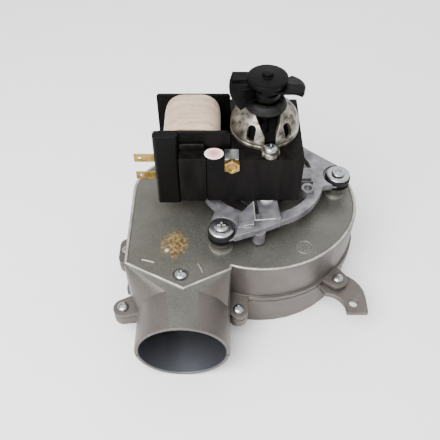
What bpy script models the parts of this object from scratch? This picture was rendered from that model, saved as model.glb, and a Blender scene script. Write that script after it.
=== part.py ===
"""Combustion fan for a gas boiler.

A two-half cast aluminium scroll with a round flue outlet, a centrifugal impeller inside it, and a
shaded-pole motor carried above it on three rubber mounts. The impeller, rotor and cooling fan share
one upright shaft. Everything is placed from that shaft's axis, with the scroll's base at height 0.
"""
import math

import bmesh
import bpy

for leftover in list(bpy.data.objects):
    bpy.data.objects.remove(leftover, do_unlink=True)

MM = 0.001
GAP = 0.3                       # clearance between pieces that rest on or pass through each other

# Shaft axis, measured from the middle of the whole fan's footprint
AXIS_X = 14.2
AXIS_Y = 26.1

# Scroll: tangent arcs (radius, angle where the arc ends), starting at the tongue
SCROLL_START_ANGLE = -108
SCROLL_FIRST_CENTRE = (0, -1)
SCROLL_ARCS = ((68.3, -30), (54, 50), (90, 144), (28, 180))
SCROLL_HEIGHT = 60
SCROLL_WALL = 3
LIP_WIDTH = 1.6
LIP_HEIGHT = 3.2
LOWER_TOP = 26.6
GASKET_LOW = 26.9
GASKET_HIGH = 27.4
UPPER_BOTTOM = 27.7
CORNER_STEP = 9                 # degrees between points on the scroll's arcs

# Outlet: square duct to round spigot
SPIGOT_RADIUS = 30
SPIGOT_WALL = 2.5
SPIGOT_X = -51.3
SPIGOT_MOUTH_Y = -110.5
SPIGOT_ROUND_Y = -83.5
DUCT_LEFT_Y = -63.5
DUCT_RIGHT_Y = -69
INLET_RADIUS = 27
SHAFT_HOLE_RADIUS = 9

# Screw lugs on the joint between the halves: screw place, then root place, in plan
LUGS = {
    "front": ((-15.8, -79.8), (-15.8, -70.0), 6.2),
    "outlet": ((-91.5, -78.0), (-83.0, -75.0), 6.5),
    "left": ((-93.4, -31.0), (-85.0, -31.0), 5.6),
    "foot": ((52.4, -55.3), (44.0, -47.0), 7.0),
    "rear_right": ((24.0, 52.5), (22.0, 45.0), 5.8),
    "rear_left": ((-55.0, 47.5), (-52.0, 41.0), 5.8),
}
UPPER_LUG_TOP = 31
LOWER_LUG_BOTTOM = 20
LEFT_LUG_HALF_LENGTH = 5.5
FOOT_HOLE = (61.6, -71.6)
FOOT_LOW = 22.6
FOOT_TIP_Y = -79
FOOT_OUTER = (50, -67, 20.6)    # centre x, centre y, radius of the foot's outer edge
FOOT_INNER = (43.5, -77, 12.8)
TEST_SCREW = (-52.4, -72)

# Rubber mounts that carry the motor
MOUNTS = {"front": (-27.0, -48.6), "right": (52.8, -0.6), "rear": (-26.5, 45.0)}
POST_RADIUS = 7.0
POST_TOP = 68.6
GROMMET_RADIUS = 8.6
GROMMET_TOP = 76.4
EAR_LOW = 72.0
EAR_HIGH = 73.5
EAR_HOLE_RADIUS = 6.2
WASHER_RADIUS = 7.9

# Motor carrier, the casting that holds the lower bearing
CARRIER_RADIUS = 43
CARRIER_EARS = {"front": (-135, -58), "right": (-14, 40), "rear": (100, 140)}  # root angles of each ear
CARRIER_FLARE = (-2, -48.5)     # corner of the front ear's wide web
STOP_PEG = (-2.7, -46)
CARRIER_OPENING = 36
CARRIER_LOW = 70.6
CARRIER_HIGH = 76
HUB_RADIUS = 11
HUB_LOW = 66
HUB_HIGH = 80.6
SPOKE_HIGH = 79.5
BEARING_RADIUS = 6

# Motor
STACK_LOW = 81.7
STACK_HIGH = 117.7
STACK_HALF_WIDTH = 29.2
STACK_RIGHT = 23.1
STACK_WINDOW_RIGHT = -20.9
CORE_LEFT = -52.8
CORE_RIGHT = -36.2
BORE_RADIUS = 16.5
ROTOR_RADIUS = 15.9
SHAFT_RADIUS = 3
BOLT_ANGLES = (-84, 96)
BOLT_CIRCLE = 24.5
BOLT_RADIUS = 2

# Coil
FLANGE_LEFT = -68.4
FLANGE_RIGHT = -21.3
FLANGE_LOW = 69.8
FLANGE_HIGH = 130.4
FLANGE_Y = 18.8
FLANGE_THICKNESS = 1.9
TUBE_WALL = 1.2
TERMINAL_HEIGHTS = {"upper": 111.2, "lower": 96.4}
TERMINAL_TIP_X = -81
TERMINAL_Y = -20.6

# Upper bracket and cooling fan
BELL_RADIUS = 21.5
BELL_TOP = 141.5
SHAFT_TOP = 154.5
FAN_RADIUS = 22.6
FAN_DISC_RADIUS = 12.2
FAN_TOP = 159.8
FAN_BLADE_ANGLES = (-27, 45)    # where the first blade starts, high, and where it ends, low
FAN_BLADE_TOPS = (152.8, 146)
FAN_WEB = (4, -10.4, 20.7, -2)  # straight web along the first blade's leading edge, in plan
FAN_BLADES = 2

# Impeller
IMPELLER_RADIUS = 46
IMPELLER_PLATE_LOW = 49
IMPELLER_BLADES = 10
BLADE_LOW = 13
BLADE_INNER_RADIUS = 22


# Shapes in plan, as lists of points that run anticlockwise

def polar(radius, degrees, centre=(0, 0)):
    """Point at a radius and an angle from a centre."""
    angle = math.radians(degrees)
    return (centre[0] + radius * math.cos(angle), centre[1] + radius * math.sin(angle))


def arc(centre, radius, start, end, step=CORNER_STEP):
    """Points along a circular arc, both ends included."""
    count = max(1, round(abs(end - start) / step))
    return [polar(radius, start + (end - start) * i / count, centre) for i in range(count + 1)]


def circle(centre, radius, count=24):
    """Points round a circle."""
    return [polar(radius, 360 * i / count, centre) for i in range(count)]


def hull(points):
    """Convex outline round a set of points."""
    ordered = sorted(set(points))

    def chain(run):
        kept = []
        for x, y in run:
            while len(kept) > 1:
                (ax, ay), (bx, by) = kept[-2:]
                if (bx - ax) * (y - ay) - (by - ay) * (x - ax) > 1e-9:
                    break
                kept.pop()
            kept.append((x, y))
        return kept[:-1]

    return chain(ordered) + chain(ordered[::-1])


def rectangle(x_low, y_low, x_high, y_high):
    """Corners of a rectangle."""
    return [(x_low, y_low), (x_high, y_low), (x_high, y_high), (x_low, y_high)]


def rounded(x_low, y_low, x_high, y_high, radius):
    """Rectangle with round corners."""
    middles = rectangle(x_low + radius, y_low + radius, x_high - radius, y_high - radius)
    corners = zip(middles, (180, 270, 0, 90))
    return [point for middle, start in corners for point in arc(middle, radius, start, start + 90, 22.5)]


def turn(points, degrees):
    """The same points turned about the shaft."""
    cosine, sine = math.cos(math.radians(degrees)), math.sin(math.radians(degrees))
    return [(x * cosine - y * sine, x * sine + y * cosine) for x, y in points]


def scroll_outline(inset=0.0):
    """Plan of the scroll from the tongue round to the outlet's left wall, moved in by the inset."""
    centre = SCROLL_FIRST_CENTRE
    start = SCROLL_START_ANGLE
    points = []
    for index, (radius, end) in enumerate(SCROLL_ARCS):
        points += arc(centre, radius - inset, start, end)[1 if index else 0:]
        if index + 1 < len(SCROLL_ARCS):
            centre = polar(radius - SCROLL_ARCS[index + 1][0], end, centre)
        start = end
    duct_left = (points[-1][0], DUCT_LEFT_Y)
    duct_right = (SPIGOT_X + SPIGOT_RADIUS - inset, DUCT_RIGHT_Y + inset)
    return points + [duct_left, duct_right]


# Solids, added to an open bmesh

def add_prism(bm, outline, low, high):
    """Upright slab with the given plan."""
    lower = [bm.verts.new((x, y, low)) for x, y in outline]
    upper = [bm.verts.new((x, y, high)) for x, y in outline]
    bm.faces.new(lower[::-1])
    bm.faces.new(upper)
    for i in range(len(outline)):
        bm.faces.new((lower[i - 1], lower[i], upper[i], upper[i - 1]))


def add_front_prism(bm, outline, y_front, y_rear):
    """Slab standing on edge, with its outline given as (x, height) and its faces along Y."""
    front = [bm.verts.new((x, y_front, z)) for x, z in outline]
    rear = [bm.verts.new((x, y_rear, z)) for x, z in outline]
    bm.faces.new(front)
    bm.faces.new(rear[::-1])
    for i in range(len(outline)):
        bm.faces.new((front[i], front[i - 1], rear[i - 1], rear[i]))


def add_turned(bm, profile, centre=(0, 0), steps=24):
    """Turned solid from a closed profile of (radius, height) points."""
    rings = []
    for radius, height in profile:
        if radius == 0:
            rings.append([bm.verts.new((*centre, height))] * steps)
        else:
            rings.append([bm.verts.new((x, y, height)) for x, y in circle(centre, radius, steps)])
    for ring, following in zip(rings, rings[1:] + rings[:1]):
        for i in range(steps):
            corners = dict.fromkeys((ring[i - 1], ring[i], following[i], following[i - 1]))
            if len(corners) > 2:
                bm.faces.new(corners)


def add_scroll(bm, inset, low, high, spigot_radius, mouth_y):
    """Scroll, square-to-round duct and spigot as one closed body."""
    outline = scroll_outline(inset)
    lower = [bm.verts.new((x, y, low)) for x, y in outline]
    upper = [bm.verts.new((x, y, high)) for x, y in outline]
    bm.faces.new(lower[::-1])
    bm.faces.new(upper)
    for i in range(len(outline) - 1):
        bm.faces.new((lower[i - 1], lower[i], upper[i], upper[i - 1]))
    corners = (upper[-1], upper[-2], lower[-2], lower[-1])
    rings = []
    for y in (SPIGOT_ROUND_Y, mouth_y):
        ring = circle((SPIGOT_X, SCROLL_HEIGHT / 2), spigot_radius, 36)
        rings.append([bm.verts.new((x, y, z)) for x, z in ring])
    quarter = len(rings[0]) // 4
    for q, corner in enumerate(corners):
        for i in range(q * quarter, (q + 1) * quarter):
            bm.faces.new((corner, rings[0][i], rings[0][(i + 1) % len(rings[0])]))
        bm.faces.new((corner, rings[0][((q + 1) * quarter) % len(rings[0])], corners[(q + 1) % 4]))
    for i in range(len(rings[0])):
        bm.faces.new((rings[0][i - 1], rings[0][i], rings[1][i], rings[1][i - 1]))
    bm.faces.new(rings[1])


# Objects

LOOKS = {
    "cast_aluminium": ((0.42, 0.41, 0.39), 0.5, 0.85),
    "carrier_casting": ((0.50, 0.49, 0.48), 0.42, 0.9),
    "zinc_steel": ((0.66, 0.67, 0.68), 0.3, 1.0),
    "black_rubber": ((0.012, 0.012, 0.012), 0.75, 0.0),
    "gasket_fibre": ((0.16, 0.15, 0.14), 0.9, 0.0),
    "black_laminations": ((0.025, 0.024, 0.022), 0.55, 0.3),
    "bobbin_nylon": ((0.03, 0.03, 0.028), 0.5, 0.0),
    "coil_tape": ((0.62, 0.53, 0.45), 0.6, 0.0),
    "brass": ((0.60, 0.43, 0.18), 0.35, 1.0),
    "sintered_bronze": ((0.35, 0.25, 0.14), 0.5, 1.0),
    "label_paper": ((0.86, 0.68, 0.66), 0.6, 0.0),
    "fan_plastic": ((0.02, 0.02, 0.02), 0.4, 0.0),
    "ground_steel": ((0.55, 0.55, 0.56), 0.2, 1.0),
    "rotor_steel": ((0.35, 0.34, 0.33), 0.4, 1.0),
    "impeller_steel": ((0.45, 0.45, 0.45), 0.4, 1.0),
}


def material(slot):
    """Principled material for one finish, made once."""
    found = bpy.data.materials.get(slot)
    if found:
        return found
    colour, roughness, metallic = LOOKS[slot]
    made = bpy.data.materials.new(slot)
    made.use_nodes = True
    shader = made.node_tree.nodes["Principled BSDF"]
    shader.inputs["Base Color"].default_value = (*colour, 1)
    shader.inputs["Roughness"].default_value = roughness
    shader.inputs["Metallic"].default_value = metallic
    return made


def axis_empty(name):
    """Empty on the shaft's axis at base height, which carries the pieces placed from it."""
    empty = bpy.data.objects.new(name, None)
    empty.location = (AXIS_X * MM, AXIS_Y * MM, 0)
    bpy.context.collection.objects.link(empty)
    return empty


HOUSING_AXIS = axis_empty("housing_axis")
ROTOR_AXIS = axis_empty("rotor_axis")


def place(name, slot, build, parent=HOUSING_AXIS):
    """Object from a function that fills a bmesh in millimetres, placed on the shaft's axis."""
    bm = bmesh.new()
    build(bm)
    bmesh.ops.recalc_face_normals(bm, faces=bm.faces)
    bmesh.ops.scale(bm, vec=(MM, MM, MM), verts=bm.verts)
    mesh = bpy.data.meshes.new(name)
    bm.to_mesh(mesh)
    bm.free()
    mesh.materials.append(material(slot))
    mesh.shade_smooth()
    mesh.set_sharp_from_angle(angle=math.radians(35))
    made = bpy.data.objects.new(name, mesh)
    made.parent = parent
    bpy.context.collection.objects.link(made)
    return made


def combine(piece, operation, build):
    """Boolean against a hidden tool shape. New edges stay sharp because both shapes are shaded flat."""
    count = sum(modifier.type == "BOOLEAN" for modifier in piece.modifiers)
    tool = place(f"{piece.name}_tool_{count + 1}", piece.data.materials[0].name, build, piece.parent)
    tool.hide_render = True
    tool.display_type = "WIRE"
    for shape in (piece, tool):
        shape.data.shade_flat()
    modifier = piece.modifiers.new(f"{operation.lower()}_{count + 1}", "BOOLEAN")
    modifier.operation = operation
    modifier.solver = "EXACT"
    modifier.object = tool


# Scroll housing

def cavity(bm):
    """Gas space inside the scroll and the outlet."""
    add_scroll(bm, SCROLL_WALL, SCROLL_WALL, SCROLL_HEIGHT - SCROLL_WALL,
               SPIGOT_RADIUS - SPIGOT_WALL, SPIGOT_MOUTH_Y - 5)


def scroll_shell(name, slot, low, high, lip_low, lip_high, extras):
    """The part of the scroll casting between two heights, with its lip and whatever stands on it."""
    def body(bm):
        add_scroll(bm, 0, 0, SCROLL_HEIGHT, SPIGOT_RADIUS, SPIGOT_MOUTH_Y)

    def beyond(bm):
        add_prism(bm, rectangle(-120, -130, 100, 80), low - 40, low)
        add_prism(bm, rectangle(-120, -130, 100, 80), high, high + 40)

    shell = place(name, slot, body)
    combine(shell, "DIFFERENCE", beyond)
    combine(shell, "UNION", lambda bm: add_prism(bm, scroll_outline(-LIP_WIDTH), lip_low, lip_high))
    for extra in extras:
        combine(shell, "UNION", extra)
    combine(shell, "DIFFERENCE", cavity)
    return shell


def lug_outline(name):
    """Plan of one screw lug, from its root in the wall to its screw."""
    screw, root, radius = LUGS[name]
    if name == "left":
        ends = [(screw[0], screw[1] + side * LEFT_LUG_HALF_LENGTH) for side in (-1, 1)]
        return hull(circle(ends[0], radius) + circle(ends[1], radius) + circle(root, 9))
    return hull(circle(screw, radius) + circle(root, radius + 1))


def lugs(low, high, left_out=()):
    """Tool that adds the screw lugs between two heights."""
    def build(bm):
        for name in LUGS:
            if name not in left_out:
                add_prism(bm, lug_outline(name), low, high)
    return build


def lug_holes(bm):
    """Screw holes through all lugs, and the fixing hole at the tip of the foot."""
    for screw, _, _ in LUGS.values():
        add_turned(bm, [(0, 10), (2.3, 10), (2.3, 40), (0, 40)], screw, 12)
    add_turned(bm, [(0, 10), (2.9, 10), (2.9, 40), (0, 40)], FOOT_HOLE, 16)


def foot(bm):
    """Curved mounting foot that reaches out from the lower half beside the outlet."""
    outer_x, outer_y, outer_radius = FOOT_OUTER
    inner_x, inner_y, inner_radius = FOOT_INNER
    inner_edge = arc((inner_x, inner_y), inner_radius, 90, 0, 15)
    outer_edge = arc((outer_x, outer_y), outer_radius, 0, 75, 15)
    tip = [(inner_x + inner_radius, FOOT_TIP_Y), (outer_x + outer_radius, FOOT_TIP_Y)]
    add_prism(bm, inner_edge + tip + outer_edge + [(44, -40), (36, -50)], FOOT_LOW, LOWER_TOP)


def make_lower_scroll():
    """Lower half: base, inlet eye, foot and screw lugs."""
    shell = scroll_shell("lower_scroll", "cast_aluminium", 0, LOWER_TOP, LOWER_TOP - LIP_HEIGHT,
                         LOWER_TOP, (lugs(LOWER_LUG_BOTTOM, LOWER_TOP, ("foot",)), foot))

    def collar(bm):
        add_turned(bm, [(0, 1), (INLET_RADIUS + 2.5, 1), (INLET_RADIUS + 2.5, 8), (0, 8)], steps=48)

    def eye(bm):
        add_turned(bm, [(0, -5), (INLET_RADIUS, -5), (INLET_RADIUS, 15), (0, 15)], steps=48)

    combine(shell, "UNION", collar)
    combine(shell, "DIFFERENCE", eye)
    combine(shell, "DIFFERENCE", lug_holes)


def make_upper_scroll():
    """Upper half: roof, mount posts and screw lugs."""
    def posts(bm):
        for centre in MOUNTS.values():
            profile = [(0, 58), (POST_RADIUS + 1, 58), (POST_RADIUS + 1, 61.5),
                       (POST_RADIUS, 63), (POST_RADIUS, POST_TOP), (0, POST_TOP)]
            add_turned(bm, profile, centre, 20)

    def openings(bm):
        shaft_hole = [(0, 50), (SHAFT_HOLE_RADIUS, 50), (SHAFT_HOLE_RADIUS, 65), (0, 65)]
        add_turned(bm, shaft_hole)
        add_turned(bm, [(0, 50), (2.1, 50), (2.1, 59), (5, 59), (5, 65), (0, 65)], TEST_SCREW, 20)
        for centre in MOUNTS.values():
            add_turned(bm, [(0, 61), (1.9, 61), (1.9, 75), (0, 75)], centre, 16)

    shell = scroll_shell("upper_scroll", "cast_aluminium", UPPER_BOTTOM, SCROLL_HEIGHT + 20,
                         UPPER_BOTTOM, UPPER_BOTTOM + LIP_HEIGHT, (lugs(UPPER_BOTTOM, UPPER_LUG_TOP),))
    combine(shell, "UNION", posts)
    combine(shell, "DIFFERENCE", openings)
    combine(shell, "DIFFERENCE", lug_holes)


def make_gasket():
    """Thin fibre gasket between the halves."""
    scroll_shell("scroll_gasket", "gasket_fibre", GASKET_LOW, GASKET_HIGH, GASKET_LOW, GASKET_HIGH, ())


def add_pan_screw(bm, centre, seat, tip, head_radius=3.6, head_height=2.4, shank_radius=2):
    """Pan-head screw pointing down, its head resting just clear of the seat."""
    head = seat + GAP
    profile = [(0, tip), (shank_radius, tip), (shank_radius, head), (head_radius, head),
               (head_radius, head + 0.6 * head_height), (0.6 * head_radius, head + head_height),
               (0, head + head_height)]
    add_turned(bm, profile, centre, 14)


def make_housing_screws():
    """Screws that clamp the two halves, and the plug screw in the outlet's roof."""
    for name, (screw, _, _) in LUGS.items():
        low = FOOT_LOW - 1 if name == "foot" else LOWER_LUG_BOTTOM - 1
        place(f"housing_screw_{name}", "zinc_steel",
              lambda bm, at=screw, tip=low: add_pan_screw(bm, at, UPPER_LUG_TOP, tip))
    place("test_point_screw", "zinc_steel",
          lambda bm: add_pan_screw(bm, TEST_SCREW, 59, 52, 4.0, 2.2, 1.8))


def make_shaft_seal():
    """Seal ring in the roof, clear of the shaft."""
    outer = SHAFT_HOLE_RADIUS - GAP
    profile = [(SHAFT_RADIUS + 0.4, 56.5), (outer, 56.5), (outer, 60.8), (SHAFT_RADIUS + 0.4, 60.8)]
    place("shaft_seal", "gasket_fibre", lambda bm: add_turned(bm, profile))


# Rubber mounts

def make_mounts():
    """Grommet, washer and screw at each of the three posts."""
    for name, centre in MOUNTS.items():
        waist = EAR_HOLE_RADIUS - GAP
        grommet = [(3.2, POST_TOP + GAP), (GROMMET_RADIUS, POST_TOP + GAP),
                   (GROMMET_RADIUS, EAR_LOW - GAP), (waist, EAR_LOW - GAP), (waist, EAR_HIGH + GAP),
                   (GROMMET_RADIUS, EAR_HIGH + GAP), (GROMMET_RADIUS, GROMMET_TOP - 0.8),
                   (GROMMET_RADIUS - 0.8, GROMMET_TOP), (3.2, GROMMET_TOP)]
        washer = [(2.5, GROMMET_TOP + GAP), (WASHER_RADIUS, GROMMET_TOP + GAP),
                  (WASHER_RADIUS, GROMMET_TOP + 1.5), (2.5, GROMMET_TOP + 1.5)]
        place(f"mount_grommet_{name}", "black_rubber",
              lambda bm, at=centre, shape=grommet: add_turned(bm, shape, at, 18))
        place(f"mount_washer_{name}", "zinc_steel",
              lambda bm, at=centre, shape=washer: add_turned(bm, shape, at, 18))
        place(f"mount_screw_{name}", "zinc_steel",
              lambda bm, at=centre: add_pan_screw(bm, at, GROMMET_TOP + 1.5, 62, 4.6, 2, 1.6))


# Motor

def carrier_ear(name):
    """Plan of one ear, drawn out from the carrier's ring to a mount."""
    start, end = CARRIER_EARS[name]
    points = circle(MOUNTS[name], 8.3, 20) + arc((0, 0), CARRIER_RADIUS - 0.5, start, end, 8)
    return hull(points + [CARRIER_FLARE] if name == "front" else points)


def make_motor_carrier():
    """Casting with three ears, spokes to the bearing hub, and pads that take the motor's bolts."""
    carrier = place("motor_carrier", "carrier_casting",
                    lambda bm: add_prism(bm, circle((0, 0), CARRIER_RADIUS, 48), CARRIER_LOW, CARRIER_HIGH))
    for name in MOUNTS:
        combine(carrier, "UNION",
                lambda bm, ear=name: add_prism(bm, carrier_ear(ear), CARRIER_LOW, CARRIER_HIGH))

    def opening(bm):
        add_prism(bm, circle((0, 0), CARRIER_OPENING, 36), 60, 90)

    def stop_peg(bm):
        add_turned(bm, [(0, 61), (3.6, 61), (4.3, 61.8), (4.3, 72), (0, 72)], STOP_PEG, 16)

    def room_for_coil(bm):
        side = FLANGE_Y + 2
        add_prism(bm, rectangle(-60, -side, FLANGE_RIGHT + 1.5, side), 60, 90)

    def spokes(bm):
        for angle in BOLT_ANGLES:
            add_prism(bm, turn(rectangle(8, -6.5, 43.4, 6.5), angle), CARRIER_LOW, SPOKE_HIGH)

    def side_spoke(bm):
        add_prism(bm, rectangle(8, -7, 37, 7), CARRIER_LOW, CARRIER_HIGH)

    def hub_and_pads(bm):
        add_prism(bm, circle((0, 0), HUB_RADIUS, 32), HUB_LOW, HUB_HIGH)
        for angle in BOLT_ANGLES:
            pad = turn(circle((BOLT_CIRCLE, 0), 5.5, 20), angle)
            add_prism(bm, pad, CARRIER_LOW, STACK_LOW - GAP)

    def holes(bm):
        add_turned(bm, [(0, 60), (SHAFT_RADIUS + 1.5, 60), (SHAFT_RADIUS + 1.5, 67.5),
                        (BEARING_RADIUS + GAP, 67.5), (BEARING_RADIUS + GAP, 90), (0, 90)])
        for angle in BOLT_ANGLES:
            at = polar(BOLT_CIRCLE, angle)
            add_turned(bm, [(0, 60), (BOLT_RADIUS + GAP, 60), (BOLT_RADIUS + GAP, 90), (0, 90)], at, 16)
        for centre in MOUNTS.values():
            add_turned(bm, [(0, 60), (10, 60), (10, EAR_LOW), (EAR_HOLE_RADIUS, EAR_LOW),
                            (EAR_HOLE_RADIUS, EAR_HIGH), (10, EAR_HIGH), (10, 90), (0, 90)], centre, 18)

    combine(carrier, "DIFFERENCE", opening)
    combine(carrier, "UNION", spokes)
    combine(carrier, "UNION", side_spoke)
    combine(carrier, "UNION", stop_peg)
    combine(carrier, "DIFFERENCE", room_for_coil)
    combine(carrier, "UNION", hub_and_pads)
    combine(carrier, "DIFFERENCE", holes)


def make_bearing(name, low, high):
    """Sintered bush that the shaft runs in."""
    inner = SHAFT_RADIUS + 0.08
    profile = [(inner, low), (BEARING_RADIUS, low), (BEARING_RADIUS, high), (inner, high)]
    place(name, "sintered_bronze", lambda bm: add_turned(bm, profile))


def make_stator():
    """C-shaped lamination stack round the rotor, and the straight core that closes it."""
    arm_end = CORE_RIGHT + GAP
    inner_y = FLANGE_Y + GAP
    outer_y = STACK_HALF_WIDTH
    c_shape = [(arm_end, -outer_y), (STACK_RIGHT, -outer_y), (STACK_RIGHT, outer_y), (arm_end, outer_y),
               (arm_end, inner_y), (STACK_WINDOW_RIGHT, inner_y), (STACK_WINDOW_RIGHT, -inner_y),
               (arm_end, -inner_y)]
    stack = place("stator_core", "black_laminations",
                  lambda bm: add_prism(bm, c_shape, STACK_LOW, STACK_HIGH))

    def bore(bm):
        add_prism(bm, circle((0, 0), BORE_RADIUS, 48), 70, 130)
        for angle in BOLT_ANGLES:
            add_prism(bm, circle(polar(BOLT_CIRCLE, angle), BOLT_RADIUS + GAP, 16), 70, 130)

    combine(stack, "DIFFERENCE", bore)
    core = rectangle(CORE_LEFT, -outer_y, CORE_RIGHT, outer_y)
    place("coil_core", "black_laminations", lambda bm: add_prism(bm, core, STACK_LOW, STACK_HIGH))


def tube_outline(spread):
    """Section of the coil's tube as (x, height), spread out from the core that it holds."""
    return rectangle(CORE_LEFT - spread, STACK_LOW - spread, CORE_RIGHT + spread, STACK_HIGH + spread)


def make_coil():
    """Bobbin with its terminal column, winding, and the two blade terminals."""
    def first_flange(bm):
        plate = rounded(FLANGE_LEFT, FLANGE_LOW, FLANGE_RIGHT, FLANGE_HIGH, 4)
        add_front_prism(bm, plate, -FLANGE_Y, -FLANGE_Y + FLANGE_THICKNESS)

    def second_flange(bm):
        plate = rounded(FLANGE_LEFT, FLANGE_LOW, FLANGE_RIGHT, FLANGE_HIGH, 2)
        add_front_prism(bm, plate, FLANGE_Y - FLANGE_THICKNESS, FLANGE_Y)

    def tube(bm):
        add_front_prism(bm, tube_outline(GAP + TUBE_WALL), -FLANGE_Y + 0.5, FLANGE_Y - 0.5)

    def column(bm):
        plan = rounded(FLANGE_LEFT, -23.4, CORE_LEFT - GAP, -FLANGE_Y + 1, 2)
        add_prism(bm, plan, 73, FLANGE_HIGH)

    def core_space(bm):
        add_front_prism(bm, tube_outline(GAP), -40, 40)
        for height in TERMINAL_HEIGHTS.values():
            slot = rectangle(FLANGE_LEFT - 5, height - 3.4, -59, height + 3.4)
            add_front_prism(bm, slot, TERMINAL_Y - 0.4 - GAP, TERMINAL_Y + 0.4 + GAP)

    bobbin = place("coil_bobbin", "bobbin_nylon", first_flange)
    for build in (second_flange, tube, column):
        combine(bobbin, "UNION", build)
    combine(bobbin, "DIFFERENCE", core_space)

    reach = FLANGE_Y - FLANGE_THICKNESS - GAP
    bulk = rounded(FLANGE_LEFT + 3.4, FLANGE_LOW + 1.4, FLANGE_RIGHT - 3.6, FLANGE_HIGH - 0.5, 11)
    winding = place("coil_winding", "coil_tape", lambda bm: add_front_prism(bm, bulk, -reach, reach))
    inside = tube_outline(2 * GAP + TUBE_WALL)
    combine(winding, "DIFFERENCE", lambda bm: add_front_prism(bm, inside, -30, 30))

    for name, height in TERMINAL_HEIGHTS.items():
        blade = rectangle(TERMINAL_TIP_X, height - 3.1, -59.4, height + 3.1)
        terminal = place(f"terminal_{name}", "brass",
                         lambda bm, shape=blade: add_front_prism(bm, shape, TERMINAL_Y - 0.4,
                                                                 TERMINAL_Y + 0.4))
        hole = circle((TERMINAL_TIP_X + 3.4, height), 1.1, 12)
        combine(terminal, "DIFFERENCE", lambda bm, shape=hole: add_front_prism(bm, shape, -30, -10))


def make_stack_fittings():
    """Retaining clip, label, earth tag and earth screw on the stack's front edge."""
    top = STACK_HIGH + GAP
    clip = rectangle(CORE_LEFT + 0.3, -20.9, -37.8, -FLANGE_Y - GAP)
    place("coil_clip", "zinc_steel", lambda bm: add_prism(bm, clip, top, top + 4.2))
    label = [(x * 1.2 - 31.5, y - 24.3) for x, y in circle((0, 0), 4.9, 24)]
    place("inspection_label", "label_paper", lambda bm: add_prism(bm, label, top, top + 0.3))
    front = -STACK_HALF_WIDTH - GAP
    tag = [(front - 1, 109), (front, 109), (front, top), (-21, top), (-21, top + 1), (front - 1, top + 1)]

    def earth_tag(bm):
        left = [bm.verts.new((-25, y, z)) for y, z in tag]
        right = [bm.verts.new((-16.5, y, z)) for y, z in tag]
        bm.faces.new(left)
        bm.faces.new(right[::-1])
        for i in range(len(tag)):
            bm.faces.new((left[i], left[i - 1], right[i - 1], right[i]))

    def earth_screw(bm):
        y_seat = front - 1 - GAP
        add_front_prism(bm, circle((-20.6, 115.6), 5.3, 6), y_seat - 3.4, y_seat)

    place("earth_tag", "zinc_steel", earth_tag)
    place("earth_nut", "brass", earth_screw)


def make_upper_bracket():
    """Bell that holds the upper bearing, with two bolt feet and side windows."""
    low = STACK_HIGH + GAP
    bearing_hole = BEARING_RADIUS + GAP
    bell = [(18.5, low), (BELL_RADIUS, low), (BELL_RADIUS, 125), (17.5, 133), (10, 137.5), (9, BELL_TOP),
            (bearing_hole, BELL_TOP), (bearing_hole, 133.5), (14, 130), (18.5, 123.5)]
    bracket = place("upper_bracket", "carrier_casting", lambda bm: add_turned(bm, bell, steps=28))

    def feet(bm):
        for angle in BOLT_ANGLES:
            foot_plan = turn(rounded(17, -5.6, 29, 5.6, 2.5), angle)
            add_prism(bm, foot_plan, low, low + 3.2)

    def windows(bm):
        for angle in (-40, 50, 140, 230):
            add_prism(bm, turn(rectangle(13, -6, 30, 6), angle), 122, 131)
        for angle in BOLT_ANGLES:
            seat = low + 3.2
            clearance = [(0, 110), (BOLT_RADIUS + GAP, 110), (BOLT_RADIUS + GAP, seat), (4.6, seat),
                         (4.6, 130), (0, 130)]
            add_turned(bm, clearance, polar(BOLT_CIRCLE, angle), 16)

    combine(bracket, "UNION", feet)
    combine(bracket, "DIFFERENCE", windows)


def make_bracket_bolts():
    """Two long bolts that clamp bracket, stack and carrier."""
    for number, angle in enumerate(BOLT_ANGLES, 1):
        place(f"bracket_bolt_{number}", "zinc_steel",
              lambda bm, at=polar(BOLT_CIRCLE, angle): add_pan_screw(bm, at, STACK_HIGH + GAP + 3.2, 69,
                                                                     4.0, 2.8, BOLT_RADIUS))


# Rotating parts

def make_shaft_and_rotor():
    """Ground shaft and the squirrel-cage rotor on it."""
    shaft = [(0, 9), (SHAFT_RADIUS, 9), (SHAFT_RADIUS, SHAFT_TOP), (0, SHAFT_TOP)]
    place("shaft", "ground_steel", lambda bm: add_turned(bm, shaft), ROTOR_AXIS)
    inner = SHAFT_RADIUS + GAP
    rotor = [(inner, 83), (ROTOR_RADIUS, 83), (ROTOR_RADIUS, 116.5), (inner, 116.5)]
    place("rotor_core", "rotor_steel", lambda bm: add_turned(bm, rotor, steps=48), ROTOR_AXIS)


def add_fan_blade(bm, turned_by):
    """One swept blade: a plate that slopes down from its thick leading edge to its trailing edge."""
    steps = 8
    first, last = FAN_BLADE_ANGLES
    high, low = FAN_BLADE_TOPS
    rings = []
    for step in range(steps + 1):
        share = step / steps
        angle = turned_by + first + (last - first) * share
        top = high + (low - high) * share
        bottom = top - (3.6 if step < 2 else 1.8)
        corners = ((5, bottom), (FAN_RADIUS, bottom), (FAN_RADIUS, top), (5, top))
        rings.append([bm.verts.new((*polar(radius, angle), height)) for radius, height in corners])
    bm.faces.new(rings[0])
    bm.faces.new(rings[-1][::-1])
    for ring, following in zip(rings, rings[1:]):
        for i in range(len(ring)):
            bm.faces.new((ring[i], ring[i - 1], following[i - 1], following[i]))


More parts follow.
